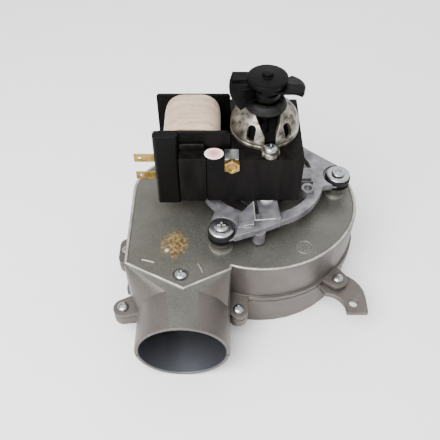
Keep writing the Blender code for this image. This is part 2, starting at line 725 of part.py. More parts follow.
def make_cooling_fan():
    """Plastic fan pressed on the shaft's top end."""
    inner = SHAFT_RADIUS + GAP
    bore_top = SHAFT_TOP + GAP
    disc_low, disc_high = 153.8, 156.4
    hub = [(inner, 142.6), (6.5, 142.6), (8.2, 143.4), (8.2, 146.6), (7, 147.4), (7, 152.2),
           (FAN_DISC_RADIUS, disc_low), (FAN_DISC_RADIUS, disc_high), (10.8, 157.1), (3.4, 157.4),
           (3, 159.4), (0, FAN_TOP), (0, bore_top), (inner, bore_top)]
    fan = place("cooling_fan", "fan_plastic", lambda bm: add_turned(bm, hub), ROTOR_AXIS)
    for number in range(FAN_BLADES):
        turned_by = 360 * number / FAN_BLADES
        web = turn(rectangle(*FAN_WEB), turned_by)
        combine(fan, "UNION", lambda bm, at=turned_by: add_fan_blade(bm, at))
        combine(fan, "UNION", lambda bm, plan=web: add_prism(bm, plan, 150.9, 152.6))
    bore = [(0, 130), (inner, 130), (inner, bore_top), (0, bore_top)]
    combine(fan, "DIFFERENCE", lambda bm: add_turned(bm, bore))


def make_impeller():
    """Sheet-steel centrifugal impeller: hub, backplate, radial blades, shroud ring and nut."""
    inner = SHAFT_RADIUS + GAP
    plate_high = IMPELLER_PLATE_LOW + 1.2
    hub = [(inner, plate_high + GAP), (9, plate_high + GAP), (9, plate_high + 3), (5.5, 55), (inner, 55)]
    place("impeller_hub", "impeller_steel", lambda bm: add_turned(bm, hub), ROTOR_AXIS)
    plate = [(inner, IMPELLER_PLATE_LOW), (IMPELLER_RADIUS, IMPELLER_PLATE_LOW),
             (IMPELLER_RADIUS, plate_high), (inner, plate_high)]
    place("impeller_backplate", "impeller_steel", lambda bm: add_turned(bm, plate, steps=48), ROTOR_AXIS)
    shroud = [(31, BLADE_LOW - 1.5), (IMPELLER_RADIUS, BLADE_LOW - 1.5),
              (IMPELLER_RADIUS, BLADE_LOW - GAP), (31, BLADE_LOW - GAP)]
    place("impeller_shroud", "impeller_steel", lambda bm: add_turned(bm, shroud, steps=48), ROTOR_AXIS)
    blade_plan = rectangle(BLADE_INNER_RADIUS, -0.6, IMPELLER_RADIUS - 0.4, 0.6)
    for number in range(IMPELLER_BLADES):
        plan = turn(blade_plan, 360 * number / IMPELLER_BLADES)
        place(f"impeller_blade_{number + 1:02d}", "impeller_steel",
              lambda bm, shape=plan: add_prism(bm, shape, BLADE_LOW, IMPELLER_PLATE_LOW - GAP), ROTOR_AXIS)
    nut_low = IMPELLER_PLATE_LOW - GAP - 5
    nut_plan = circle((0, 0), 5.8, 6)

    def nut(bm):
        add_prism(bm, nut_plan, nut_low, nut_low + 5)

    made = place("impeller_nut", "zinc_steel", nut, ROTOR_AXIS)
    combine(made, "DIFFERENCE", lambda bm: add_prism(bm, circle((0, 0), inner, 24), 30, 60))


def make_heat_slinger():
    """Thin disc above the roof that keeps the shaft's heat off the lower bearing."""
    inner = SHAFT_RADIUS + GAP
    disc = [(inner, 62), (18, 62), (18, 63), (6, 63), (6, 65), (inner, 65)]
    place("heat_slinger", "impeller_steel", lambda bm: add_turned(bm, disc), ROTOR_AXIS)


make_lower_scroll()
make_upper_scroll()
make_gasket()
make_housing_screws()
make_shaft_seal()
make_mounts()
make_motor_carrier()
make_bearing("lower_bearing", 68, 78)
make_stator()
make_coil()
make_stack_fittings()
make_upper_bracket()
make_bearing("upper_bearing", 134, 141)
make_bracket_bolts()
make_shaft_and_rotor()
make_heat_slinger()
make_cooling_fan()
make_impeller()
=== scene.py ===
import math

import bpy
from mathutils import Matrix, Vector


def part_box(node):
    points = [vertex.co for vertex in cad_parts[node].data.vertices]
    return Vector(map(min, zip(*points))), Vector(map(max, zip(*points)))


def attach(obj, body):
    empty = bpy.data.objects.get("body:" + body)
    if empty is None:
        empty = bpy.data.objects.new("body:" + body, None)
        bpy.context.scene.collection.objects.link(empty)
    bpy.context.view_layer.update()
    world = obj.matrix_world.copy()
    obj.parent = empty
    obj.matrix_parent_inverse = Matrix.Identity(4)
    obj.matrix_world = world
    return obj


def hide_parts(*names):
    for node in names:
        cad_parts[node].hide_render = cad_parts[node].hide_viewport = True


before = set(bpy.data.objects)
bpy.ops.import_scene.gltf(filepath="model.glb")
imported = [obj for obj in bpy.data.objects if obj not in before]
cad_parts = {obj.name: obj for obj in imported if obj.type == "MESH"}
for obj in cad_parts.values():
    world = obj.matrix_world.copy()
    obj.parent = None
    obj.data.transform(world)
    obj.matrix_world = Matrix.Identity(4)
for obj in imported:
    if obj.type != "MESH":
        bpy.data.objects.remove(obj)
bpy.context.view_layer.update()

# Combustion fan of a gas boiler: a cast scroll with an impeller inside, a shaded-pole motor on three
# rubber mounts above it, and a small cooling fan on top. Places are millimetres from the shaft's axis
# in plan and from the scroll's base in height.

MM = 0.001


# Camera
# Looks down on the fan from the outlet's side, from a hand's height above a bench.

ELEVATION = 49.37
DISTANCE = 402.5
AIM = (-27.84, -23.26, 55.43)

shaft_low, shaft_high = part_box("shaft")
AXIS = (shaft_low + shaft_high) / 2


def at(x, y, z):
    """Point given in millimetres from the shaft's axis and the base."""
    return Vector((AXIS.x + x * MM, AXIS.y + y * MM, z * MM))


def aimed(kind, name, direction, distance, target):
    """Adds a camera or light in a direction from a target, looking at it."""
    data = bpy.data.cameras.new(name) if kind == "CAMERA" else bpy.data.lights.new(name, kind)
    made = bpy.data.objects.new(name, data)
    bpy.context.scene.collection.objects.link(made)
    made.location = target + direction.normalized() * distance * MM
    made.rotation_euler = direction.to_track_quat("Z", "Y").to_euler()
    return made


tilt = math.radians(ELEVATION)
camera = aimed("CAMERA", "camera", Vector((0, -math.cos(tilt), math.sin(tilt))), DISTANCE, at(*AIM))
camera.data.sensor_width = 36
camera.data.lens = 48.0
camera.data.clip_start = 0.01
bpy.context.scene.camera = camera


# Floor
# Plain pale card that the fan stands on, matt and nearly white.

def linear(code):
    """Linear RGBA of an sRGB hex colour."""
    channels = [int(code[i:i + 2], 16) / 255 for i in (1, 3, 5)]
    return (*[c / 12.92 if c < 0.04045 else ((c + 0.055) / 1.055) ** 2.4 for c in channels], 1)


def feed(tree, node, sockets):
    """Sets a node's inputs, or links them where a socket is given."""
    for key, value in sockets.items():
        if isinstance(value, bpy.types.NodeSocket):
            tree.links.new(value, node.inputs[key])
        else:
            node.inputs[key].default_value = linear(value) if isinstance(value, str) else value


def add_node(tree, kind, sockets, **settings):
    """Adds a node with its settings and links."""
    made = tree.nodes.new("ShaderNode" + kind)
    for name, value in settings.items():
        setattr(made, name, value)
    feed(tree, made, sockets)
    return made


def start_material(name, uniform):
    """New material, its node tree, its shader, and the Object coordinates that its patterns follow."""
    made = bpy.data.materials.new(name)
    made.use_nodes = True
    tree = made.node_tree
    shader = tree.nodes["Principled BSDF"]
    feed(tree, shader, uniform)
    place = tree.nodes.new("ShaderNodeTexCoord").outputs["Object"]
    return made, tree, shader, place


def noise(tree, place, size, detail=3.0):
    """Even noise with patches of about the given size in millimetres."""
    sockets = {"Vector": place, "Scale": 1 / (size * MM), "Detail": detail}
    return add_node(tree, "TexNoise", sockets).outputs["Fac"]


def tone(tree, value, low, high, dark, light):
    """Colour that runs from dark to light as a value goes from low to high."""
    share = add_node(tree, "MapRange", {"Value": value, "From Min": low, "From Max": high}).outputs[0]
    return add_node(tree, "Mix", {0: share, 6: dark, 7: light}, data_type="RGBA").outputs[2]


def span(tree, value, low, high, first, last):
    """Value mapped from one range to another, held at the ends."""
    sockets = {"Value": value, "From Min": low, "From Max": high, "To Min": first, "To Max": last}
    return add_node(tree, "MapRange", sockets).outputs[0]


def relief(tree, shader, height, depth):
    """Bump of the given depth in millimetres."""
    bump = add_node(tree, "Bump", {"Height": height, "Distance": depth * MM, "Strength": 1.0})
    tree.links.new(bump.outputs[0], shader.inputs["Normal"])


bpy.ops.mesh.primitive_plane_add(size=6)
floor = bpy.context.object
floor.name = "floor"
card, tree, shader, place = start_material("pale_card", {"Roughness": 0.9})
feed(tree, shader, {"Base Color": tone(tree, noise(tree, place, 40), 0.3, 0.7, "#fdfdfd", "#ffffff")})
floor.data.materials.append(card)


# Lower scroll
# Lower half of the scroll: sand-blasted die casting in aluminium with the inlet eye below, the curved
# mounting foot at the right and screw lugs on the joint. Its edges are rounded by the die.

CASTING_ROUND = 0.7
OUTLET_X = -51.3
OUTLET_HEIGHT = 30


def select_only(piece):
    """Leaves one object selected and active."""
    bpy.ops.object.select_all(action="DESELECT")
    piece.select_set(True)
    bpy.context.view_layer.objects.active = piece


def modify(piece, kind, **settings):
    """Adds a modifier and applies it."""
    select_only(piece)
    made = piece.modifiers.new(kind.lower(), kind)
    for name, value in settings.items():
        setattr(made, name, value)
    bpy.ops.object.modifier_apply(modifier=made.name)


def round_edges(piece, width, segments=3, angle=32):
    """Rounds a piece's sharp edges and shades it smooth, with its flat faces kept flat."""
    modify(piece, "BEVEL", width=width * MM, segments=segments, limit_method="ANGLE",
           angle_limit=math.radians(angle), use_clamp_overlap=False, miter_outer="MITER_ARC")
    bpy.ops.object.shade_smooth_by_angle(angle=math.radians(50))
    modify(piece, "WEIGHTED_NORMAL", keep_sharp=True)


def cad_copy(node, name, merge=0.3):
    """Copy of a CAD node with points closer than the merge distance joined, and its flat faces too."""
    piece = bpy.data.objects.new(name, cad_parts[node].data.copy())
    bpy.context.scene.collection.objects.link(piece)
    select_only(piece)
    bpy.ops.object.mode_set(mode="EDIT")
    bpy.ops.mesh.select_all(action="SELECT")
    bpy.ops.mesh.remove_doubles(threshold=merge * MM)
    bpy.ops.mesh.dissolve_limited(angle_limit=math.radians(0.5))
    bpy.ops.mesh.dissolve_degenerate(threshold=0.00005)
    bpy.ops.object.mode_set(mode="OBJECT")
    return piece


def fit(piece, look, slot, body, *nodes):
    """Settles a finished piece: place in its mesh, material, body, and the CAD nodes it stands for."""
    select_only(piece)
    bpy.ops.object.transform_apply(location=True, rotation=True, scale=True)
    piece.data.materials.clear()
    piece.data.materials.append(look)
    for polygon in piece.data.polygons:
        polygon.material_index = 0
    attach(piece, body)
    if nodes:
        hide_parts(*nodes)


def mix(tree, share, first, second):
    """Colour between two colours by a share from 0 to 1."""
    return add_node(tree, "Mix", {0: share, 6: first, 7: second}, data_type="RGBA").outputs[2]


def distance(tree, place, centre, scale=(1, 1, 1)):
    """Distance from a point in metres, with each axis stretched; an axis scaled to 0 is left out."""
    start = Vector([-value * factor for value, factor in zip(centre, scale)])
    moved = add_node(tree, "Mapping", {"Vector": place, "Location": start, "Scale": scale}).outputs[0]
    return add_node(tree, "VectorMath", {0: moved}, operation="LENGTH").outputs["Value"]


def cast_aluminium(name, stained):
    """Blasted die-cast aluminium: dull warm grey and finely grained. Painted light on it: a highlight on the
    bead, shade inside the outlet that darkens towards its top, and a greener tint on the roof than on the
    walls.
    Condensate has left a rusty crust on the roof."""
    made, tree, shader, place = start_material(name, {"Metallic": 0.75})
    clouds = noise(tree, place, 22, 5)
    grain = noise(tree, place, 0.9, 3)
    mixed = add_node(tree, "Math", {0: clouds, 1: grain}, operation="ADD").outputs[0]
    # Painted light: the roof and the walls get two tints of the same casting, the roof greener and the walls
    # pinker, standing in for how light falls on them.
    roof = tone(tree, mixed, 0.7, 1.3, "#54534e", "#6b6963")
    wall = tone(tree, mixed, 0.7, 1.3, "#58524e", "#6c6662")
    along = add_node(tree, "SeparateXYZ", {"Vector": place})
    height = along.outputs["Z"]
    colour = mix(tree, span(tree, height, 0.057, 0.0595, 0, 1), wall, roof)
    if stained:
        reach = distance(tree, place, at(-57.5, -48, 60), (1, 0.75, 1))
        ragged = add_node(tree, "Math",
                          {0: span(tree, reach, 0.003, 0.015, 1, 0), 1: noise(tree, place, 5, 5)},
                          operation="MULTIPLY").outputs[0]
        rust = tone(tree, noise(tree, place, 2.2, 4), 0.4, 0.62, "#6a5230", "#b39a68")
        colour = mix(tree, span(tree, ragged, 0.24, 0.4, 0, 0.85), colour, rust)
        drop = distance(tree, place, at(-62.3, -53, 60))
        colour = mix(tree, span(tree, drop, 0.0008, 0.0017, 0.9, 0), colour, "#f2eeea")
    # Painted highlight: the bead round the roof's edge is painted lighter in patches, standing in for light
    # on its rounded top. The posts above it are kept out.
    rim_low = span(tree, height, 0.06015, 0.0607, 0, 1)
    highlight_patches = span(tree, noise(tree, place, 7, 3), 0.3, 0.7, 0.35, 0.95)
    bead_highlight = add_node(tree, "Math", {0: rim_low, 1: highlight_patches}, operation="MULTIPLY").outputs[0]
    below_posts = span(tree, height, 0.0614, 0.0618, 1, 0)
    bead_highlight = add_node(tree, "Math", {0: bead_highlight, 1: below_posts}, operation="MULTIPLY").outputs[0]
    colour = mix(tree, bead_highlight, colour, "#c4beb7")
    # Painted shade inside the outlet: the bore is painted dark and bluish, darker towards its top and lighter
    # at its bottom.
    bore = distance(tree, place, at(OUTLET_X, 0, OUTLET_HEIGHT), (1, 0, 1))
    painted_bore_shade = tone(tree, height, 0.004, 0.045, "#62646b", "#26282e")
    outlet_end = span(tree, along.outputs["Y"], at(0, -62, 0).y, at(0, -52, 0).y, 1, 0)
    inside = add_node(tree, "Math", {0: span(tree, bore, 0.0276, 0.0283, 1, 0), 1: outlet_end},
                      operation="MULTIPLY").outputs[0]
    colour = mix(tree, inside, colour, painted_bore_shade)
    feed(tree, shader, {"Base Color": colour, "Roughness": span(tree, grain, 0.3, 0.7, 0.4, 0.56)})
    relief(tree, shader, grain, 0.1)
    return made


lower = cad_copy("lower_scroll", "lower_scroll_casting")
round_edges(lower, CASTING_ROUND)
fit(lower, cast_aluminium("cast_aluminium_lower", False), "cast_aluminium", "housing", "lower_scroll")


# Upper scroll
# Upper half: the roof with a raised bead round its edge, three posts for the motor's mounts, a date
# dial and short flow marks left by the mould. Same casting, stained by condensate near the outlet.

BEAD_RADIUS = 1.25
BEAD_INSET = 1.1
ROOF = 60
SCROLL_ARCS = ((68.3, -30), (54, 50), (90, 144), (28, 180))
SCROLL_START_ANGLE = -108
SCROLL_FIRST_CENTRE = (0, -1)
DUCT_LEFT_Y = -63.5
DUCT_RIGHT = (-21.3, -69)
DUCT_TIP = (-50.3, -83.6)
DIAL = (27.1, -50.4)


def polar(radius, degrees, centre=(0, 0)):
    """Point in plan at a radius and angle from a centre."""
    angle = math.radians(degrees)
    return (centre[0] + radius * math.cos(angle), centre[1] + radius * math.sin(angle))


def roof_edge(inset):
    """Plan of the roof's edge: four tangent arcs, then the two slopes that meet over the outlet."""
    centre, start, points = SCROLL_FIRST_CENTRE, SCROLL_START_ANGLE, []
    for index, (radius, end) in enumerate(SCROLL_ARCS):
        count = round(abs(end - start) / 4)
        points += [polar(radius - inset, start + (end - start) * i / count, centre) for i in range(count + 1)]
        if index + 1 < len(SCROLL_ARCS):
            centre = polar(radius - SCROLL_ARCS[index + 1][0], end, centre)
        start = end
    left = (points[-1][0], DUCT_LEFT_Y + 0.3 * inset)
    right = (DUCT_RIGHT[0] - 0.2 * inset, DUCT_RIGHT[1] + inset)
    return points + [left, (DUCT_TIP[0], DUCT_TIP[1] + 1.15 * inset), right]


def swept(name, points, radius, closed, height):
    """Round bar along a line in plan, at a height, as a mesh."""
    curve = bpy.data.curves.new(name, "CURVE")
    curve.dimensions = "3D"
    curve.bevel_depth = radius * MM
    curve.bevel_resolution = 5
    curve.use_fill_caps = True
    spline = curve.splines.new("POLY")
    spline.points.add(len(points) - 1)
    for point, (x, y) in zip(spline.points, points):
        point.co = (*at(x, y, height), 1)
    spline.use_cyclic_u = closed
    made = bpy.data.objects.new(name, curve)
    bpy.context.scene.collection.objects.link(made)
    select_only(made)
    bpy.ops.object.convert(target="MESH")
    return bpy.context.object


def boolean(piece, tool, operation):
    """Joins or cuts a piece with a tool shape, which is then removed."""
    modify(piece, "BOOLEAN", object=tool, operation=operation, solver="EXACT")
    bpy.data.objects.remove(tool, do_unlink=True)


def rod(x, y, low, high, radius, vertices=32):
    """Upright round bar, a start for shaping or a tool."""
    bpy.ops.object.select_all(action="DESELECT")
    bpy.ops.mesh.primitive_cylinder_add(vertices=vertices, radius=radius * MM, depth=(high - low) * MM,
                                        location=at(x, y, (low + high) / 2))
    bpy.ops.object.transform_apply(location=True, rotation=True, scale=True)
    return bpy.context.object


def block(lowest, highest):
    """Upright box between two corners, a start for shaping or a tool."""
    low, high = at(*lowest), at(*highest)
    bpy.ops.object.select_all(action="DESELECT")
    bpy.ops.mesh.primitive_cube_add(size=1, location=(low + high) / 2, scale=high - low)
    bpy.ops.object.transform_apply(location=True, rotation=True, scale=True)
    return bpy.context.object


upper = cad_copy("upper_scroll", "upper_scroll_casting")
boolean(upper, swept("bead", roof_edge(BEAD_INSET), BEAD_RADIUS, True, ROOF - 0.35), "UNION")
for ends in (((-41.9, -63.4), (-38.5, -70.5)), ((-78, -60.3), (-69.5, -62.7))):
    boolean(upper, swept("flow_mark", ends, 0.6, False, ROOF - 0.1), "UNION")
dial = swept("dial", [polar(5, 15 * i, DIAL) for i in range(24)], 0.35, True, ROOF)
boolean(upper, dial, "UNION")
for hour in range(8):
    boolean(upper, rod(*polar(2.9, 45 * hour, DIAL), ROOF - 1, ROOF + 0.35, 0.45, 12), "UNION")
round_edges(upper, 0.3, 2)
fit(upper, cast_aluminium("cast_aluminium_upper", True), "cast_aluminium", "housing", "upper_scroll")


# Gasket and shaft seal
# Pressed fibre sheet between the halves, and the seal ring round the shaft. Matt, dark and fibrous.

fibre, tree, shader, place = start_material("pressed_fibre", {"Roughness": 0.92})
strands = noise(tree, add_node(tree, "Mapping", {"Vector": place, "Scale": (1, 4, 4)}).outputs[0], 1.5, 4)
feed(tree, shader, {"Base Color": tone(tree, strands, 0.35, 0.65, "#2e2b28", "#57524c")})
relief(tree, shader, strands, 0.1)
for name in ("scroll_gasket", "shaft_seal"):
    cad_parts[name].data.materials.clear()
    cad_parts[name].data.materials.append(fibre)


# Housing screws
# Pan-head thread-forming screws, zinc plated. The heads are domed with a cross recess; plating is
# bright and slightly blue.

def turned(name, profile, x, y, steps=40):
    """Piece turned about an upright line from a closed profile of (radius, height) points."""
    mesh = bpy.data.meshes.new(name)
    points = [at(x + radius, y, height) for radius, height in profile]
    mesh.from_pydata(points, [(i, (i + 1) % len(points)) for i in range(len(points))], [])
    made = bpy.data.objects.new(name, mesh)
    bpy.context.scene.collection.objects.link(made)
    select_only(made)
    bpy.ops.object.mode_set(mode="EDIT")
    bpy.ops.mesh.select_all(action="SELECT")
    bpy.ops.mesh.spin(steps=steps, angle=2 * math.pi, center=at(x, y, 0), axis=(0, 0, 1))
    bpy.ops.mesh.select_all(action="SELECT")
    bpy.ops.mesh.remove_doubles(threshold=0.000005)
    bpy.ops.mesh.dissolve_degenerate(threshold=0.000005)
    bpy.ops.mesh.select_all(action="SELECT")
    bpy.ops.mesh.normals_make_consistent(inside=False)
    bpy.ops.object.mode_set(mode="OBJECT")
    bpy.ops.object.shade_smooth_by_angle(angle=math.radians(40))
    return made


def pan_screw(name, x, y, seat, tip, head, height, shank):
    """Screw with a domed head and cross recess, standing on a seat and pointing down."""
    dome = [(head * math.cos(math.radians(a)),
             seat + 0.35 * height + 0.65 * height * math.sin(math.radians(a)))
            for a in (0, 15, 30, 45, 60, 75, 90)]
    thread = []
    pitch = 1.4
    for turn_number in range(int((seat - tip) / pitch)):
        low = tip + turn_number * pitch
        thread += [(shank, low), (shank - 0.25, low + pitch / 2)]
    made = turned(name, [(0, tip)] + thread + [(shank, seat), (head - 0.3, seat), (head, seat + 0.3)] + dome,
                  x, y, 24)
    reach, wide = 0.55 * head, 0.13 * head
    for half_x, half_y in ((reach, wide), (wide, reach)):
        low = (x - half_x, y - half_y, seat + 0.45 * height)
        high = (x + half_x, y + half_y, seat + height + 1)
        boolean(made, block(low, high), "DIFFERENCE")
    bpy.ops.object.shade_smooth_by_angle(angle=math.radians(35))
    return made


def centre_of(node):
    """Middle of a CAD node in plan, in millimetres from the axis, and its lowest and highest heights."""
    low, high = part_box(node)
    middle = (low + high) / 2 - AXIS
    return middle.x / MM, middle.y / MM, low.z / MM, high.z / MM


zinc, tree, shader, place = start_material("bright_zinc_plate", {"Metallic": 1.0})
cloud = noise(tree, place, 2.5, 4)
feed(tree, shader, {"Base Color": tone(tree, cloud, 0.3, 0.7, "#9c9d9f", "#b2b4b6"),
                    "Roughness": span(tree, cloud, 0.3, 0.7, 0.24, 0.36)})
relief(tree, shader, cloud, 0.01)

for name in [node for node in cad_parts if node.startswith("housing_screw")] + ["test_point_screw"]:
    x, y, low, high = centre_of(name)
    head = 4.0 if name == "test_point_screw" else 3.6
    seat = high - (2.2 if name == "test_point_screw" else 2.4)
    screw = pan_screw(name + "_detailed", x, y, seat, low, head, high - seat, 1.9)
    fit(screw, zinc, "zinc_steel", "housing", name)


# Rubber mounts
# Moulded rubber grommets in the carrier's ears, each under a domed steel washer and a screw that goes
# down into its post. The rubber is black and matt with a light bloom.

rubber, tree, shader, place = start_material("moulded_rubber", {"Roughness": 0.62, "Specular IOR Level": 0.2})
bloom = noise(tree, place, 3, 3)
feed(tree, shader, {"Base Color": tone(tree, bloom, 0.35, 0.75, "#080808", "#1b1b1a")})
relief(tree, shader, noise(tree, place, 0.6, 2), 0.04)

for side in ("front", "right", "rear"):
    x, y, low, high = centre_of(f"mount_grommet_{side}")
    wide = (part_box(f"mount_grommet_{side}")[1].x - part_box(f"mount_grommet_{side}")[0].x) / 2 / MM
    ear_low, ear_high, waist = low + 1.0, low + 3.1, 5.9
    bulge = [(wide - 0.5, low), (wide, low + 0.5), (wide - 0.1, ear_low)]
    crown = [(wide - 0.5, ear_high), (wide, ear_high + 0.5), (wide, high - 1.2),
             (wide - 0.4, high - 0.5), (wide - 1.2, high)]
    grommet_outline = [(3.2, low)] + bulge + [(waist, ear_low), (waist, ear_high)] + crown + [(3.2, high)]
    grommet = turned(f"rubber_grommet_{side}", grommet_outline, x, y)
    fit(grommet, rubber, "black_rubber", "housing", f"mount_grommet_{side}")

    x, y, low, high = centre_of(f"mount_washer_{side}")
    edge = (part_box(f"mount_washer_{side}")[1].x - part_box(f"mount_washer_{side}")[0].x) / 2 / MM
    washer = turned(f"domed_washer_{side}",
                    [(2.5, low + 0.4), (edge - 2, low + 0.2), (edge, low), (edge, low + 0.5),
                     (edge - 0.5, low + 0.95), (edge - 2, low + 1.15), (2.5, high)], x, y)
    fit(washer, zinc, "zinc_steel", "housing", f"mount_washer_{side}")

    x, y, low, high = centre_of(f"mount_screw_{side}")
    screw = pan_screw(f"mount_bolt_{side}", x, y, high - 1.6, low, 4.6, 1.6, 1.8)
    fit(screw, zinc, "zinc_steel", "housing", f"mount_screw_{side}")


# Motor carrier
# Gravity-cast ring that hangs between the mounts and holds the lower bearing, with a raised pad under
# the motor, a gusset beside it and a stop peg. Lighter and slightly bluer than the scroll.

carrier_alloy, tree, shader, place = start_material("gravity_cast_alloy", {"Metallic": 0.5})
clouds = noise(tree, place, 9, 4)
grain = noise(tree, place, 0.9, 2)
colour = tone(tree, clouds, 0.35, 0.68, "#5e5d61", "#8f8d92")
height = add_node(tree, "SeparateXYZ", {"Vector": place}).outputs["Z"]
# Painted highlight: everything above 79.6 mm, such as the top of the bar along the pad's edge, is painted
# near-white.
colour = mix(tree, span(tree, height, 0.0796, 0.0799, 0, 0.8), colour, "#d8d4cf")
feed(tree, shader, {"Base Color": colour,
                    "Roughness": span(tree, grain, 0.3, 0.7, 0.26, 0.42)})
relief(tree, shader, add_node(tree, "Math", {0: grain, 1: clouds}, operation="ADD").outputs[0], 0.12)

carrier = cad_copy("motor_carrier", "motor_carrier_casting")
gusset = block((-16, -47, 74), (-6.2, -27, 79.3))
for vertex in gusset.data.vertices:
    if vertex.co.x < at(-10, 0, 0).x and vertex.co.z > 76 * MM:
        vertex.co.z = 76.3 * MM
bpy.ops.object.mode_set(mode="EDIT")
bpy.ops.mesh.select_all(action="SELECT")
bpy.ops.mesh.bisect(plane_co=at(-6.2, -27, 0), plane_no=(-20, 9.8, 0), use_fill=True, clear_outer=True)
bpy.ops.object.mode_set(mode="OBJECT")
boolean(carrier, gusset, "UNION")
boolean(carrier, block((25, -6.5, 73.4), (34, 0.5, 79.2)), "UNION")
boolean(carrier, rod(30.5, -15.5, 73.4, 79.4, 4.4), "UNION")
boolean(carrier, rod(30.5, -15.5, 76.5, 82, 2.6), "DIFFERENCE")
pad_edge = [(-6.2, -28), (-5.6, -44.2), (7.6, -42.9)]
boolean(carrier, swept("pad_edge", pad_edge, 0.5, False, 79.5), "UNION")
boolean(carrier, block((5.4, -41.5, 74), (9, -37.5, 78.6)), "DIFFERENCE")
round_edges(carrier, 0.35)
fit(carrier, carrier_alloy, "carrier_casting", "housing", "motor_carrier")


# Bearings
# Sintered bronze bushes, oil-soaked and porous, in the carrier and the upper bracket.

bronze, tree, shader, place = start_material("sintered_bronze", {"Metallic": 0.9, "Roughness": 0.5})
pores = noise(tree, place, 0.4, 2)
feed(tree, shader, {"Base Color": tone(tree, pores, 0.4, 0.6, "#4b3a22", "#80633a")})
relief(tree, shader, pores, 0.05)
for name in ("lower_bearing", "upper_bearing"):
    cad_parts[name].data.materials.clear()
    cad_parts[name].data.materials.append(bronze)


# Stator
# Stack of punched steel laminations and the core bar that closes it, dipped in black varnish. The
# sheets are 0.5 mm thick, drawn as 1 mm so that their edges show.

varnish, tree, shader, place = start_material("varnished_laminations", {"Specular IOR Level": 0.08})
height = add_node(tree, "SeparateXYZ", {"Vector": place}).outputs["Z"]
sheets = add_node(tree, "Math", {0: height, 1: 2 * math.pi / MM}, operation="MULTIPLY").outputs[0]
edges = add_node(tree, "Math", {0: sheets}, operation="SINE").outputs[0]
runs = noise(tree, add_node(tree, "Mapping", {"Vector": place, "Scale": (1, 1, 0.2)}).outputs[0], 4, 4)
feed(tree, shader, {"Base Color": tone(tree, runs, 0.35, 0.7, "#060505", "#12100f"),
                    "Roughness": span(tree, runs, 0.3, 0.7, 0.34, 0.55)})
relief(tree, shader, span(tree, edges, -1, 1, 0, 1), 0.05)
for name, source in (("stator_laminations", "stator_core"), ("core_laminations", "coil_core")):
    stack = cad_copy(source, name)
    round_edges(stack, 0.4, 2)
    fit(stack, varnish, "black_laminations", "housing", source)


# Bobbin
# Glass-filled nylon moulding, black with a satin skin: two flanges, the tube through the coil, and the
# column that holds the terminals.

nylon, tree, shader, place = start_material("glass_filled_nylon", {"Specular IOR Level": 0.08})
skin = noise(tree, place, 1.4, 3)
feed(tree, shader, {"Base Color": tone(tree, skin, 0.35, 0.7, "#050505", "#0d0d0c"),
                    "Roughness": span(tree, skin, 0.3, 0.7, 0.32, 0.48)})
relief(tree, shader, skin, 0.03)
bobbin = cad_copy("coil_bobbin", "coil_bobbin_moulding")
round_edges(bobbin, 0.6)
fit(bobbin, nylon, "bobbin_nylon", "housing", "coil_bobbin")


# Coil
# Copper winding wrapped in layers of cream polyester tape. The wrap is drawn round the corners, bulges
# a little between the flanges and shows the edges of its turns.

low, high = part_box("coil_winding")
low, high = low + Vector((2, 0, 0)) * MM, high + Vector((-2.4, 0, 2.3)) * MM
tape, tree, shader, place = start_material("polyester_tape", {"Sheen Weight": 0.15})
stretch = add_node(tree, "Mapping", {"Vector": place, "Scale": (0.12, 1, 0.12)}).outputs[0]
bands = noise(tree, stretch, 3.2, 3)
weave = noise(tree, add_node(tree, "Mapping", {"Vector": place, "Scale": (0.3, 1, 0.3)}).outputs[0], 0.9, 2)
both = add_node(tree, "Math", {0: bands, 1: weave}, operation="ADD").outputs[0]
feed(tree, shader, {"Base Color": tone(tree, both, 0.75, 1.25, "#9c8571", "#bfa891"),
                    "Roughness": span(tree, weave, 0.3, 0.7, 0.42, 0.6)})
relief(tree, shader, both, 0.25)

corner_round = 12
bpy.ops.object.select_all(action="DESELECT")
bpy.ops.mesh.primitive_cube_add(size=1, location=(low + high) / 2, scale=high - low)
winding = bpy.context.object
winding.name = "taped_coil"
bpy.ops.object.transform_apply(location=True, rotation=True, scale=True)
bpy.ops.object.mode_set(mode="EDIT")
bpy.ops.mesh.select_mode(type="EDGE")
bpy.ops.mesh.select_all(action="DESELECT")
bpy.ops.object.mode_set(mode="OBJECT")
for edge in winding.data.edges:
    first, second = (winding.data.vertices[i].co for i in edge.vertices)
    edge.select = abs(first.y - second.y) > 10 * MM
bpy.ops.object.mode_set(mode="EDIT")
bpy.ops.mesh.bevel(offset=corner_round * MM, segments=10, affect="EDGES")
for cut in range(1, 16):
    bpy.ops.mesh.select_all(action="SELECT")
    plane = low.y + (high.y - low.y) * cut / 16
    bpy.ops.mesh.bisect(plane_co=(0, plane, 0), plane_no=(0, 1, 0))
bpy.ops.object.mode_set(mode="OBJECT")
middle = (low + high) / 2
for vertex in winding.data.vertices:
    along = (vertex.co.y - middle.y) / (high.y - low.y) * 2
    ripple = 0.25 * math.sin(along * 14) + 0.15 * math.sin(along * 31 + vertex.co.x * 160)
    pull = 1 - (1.1 * along ** 6 + 0.35 - 0.35 * ripple) * MM / (high.z - low.z) * 2
    vertex.co.x = middle.x + (vertex.co.x - middle.x) * pull
    vertex.co.z = middle.z + (vertex.co.z - middle.z) * pull
core_low, core_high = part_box("coil_core")
core_low, core_high = core_low - Vector((1.8, 0, 1.8)) * MM, core_high + Vector((1.8, 0, 1.8)) * MM
bpy.ops.mesh.primitive_cube_add(size=1, location=(core_low + core_high) / 2, scale=core_high - core_low)
hollow = bpy.context.object
bpy.ops.object.transform_apply(location=True, rotation=True, scale=True)
boolean(winding, hollow, "DIFFERENCE")
bpy.ops.object.shade_smooth_by_angle(angle=math.radians(40))
fit(winding, tape, "coil_tape", "housing", "coil_winding")


# Terminals
# Two blade terminals stamped from brass strip, with a latching hole and chamfered tips.

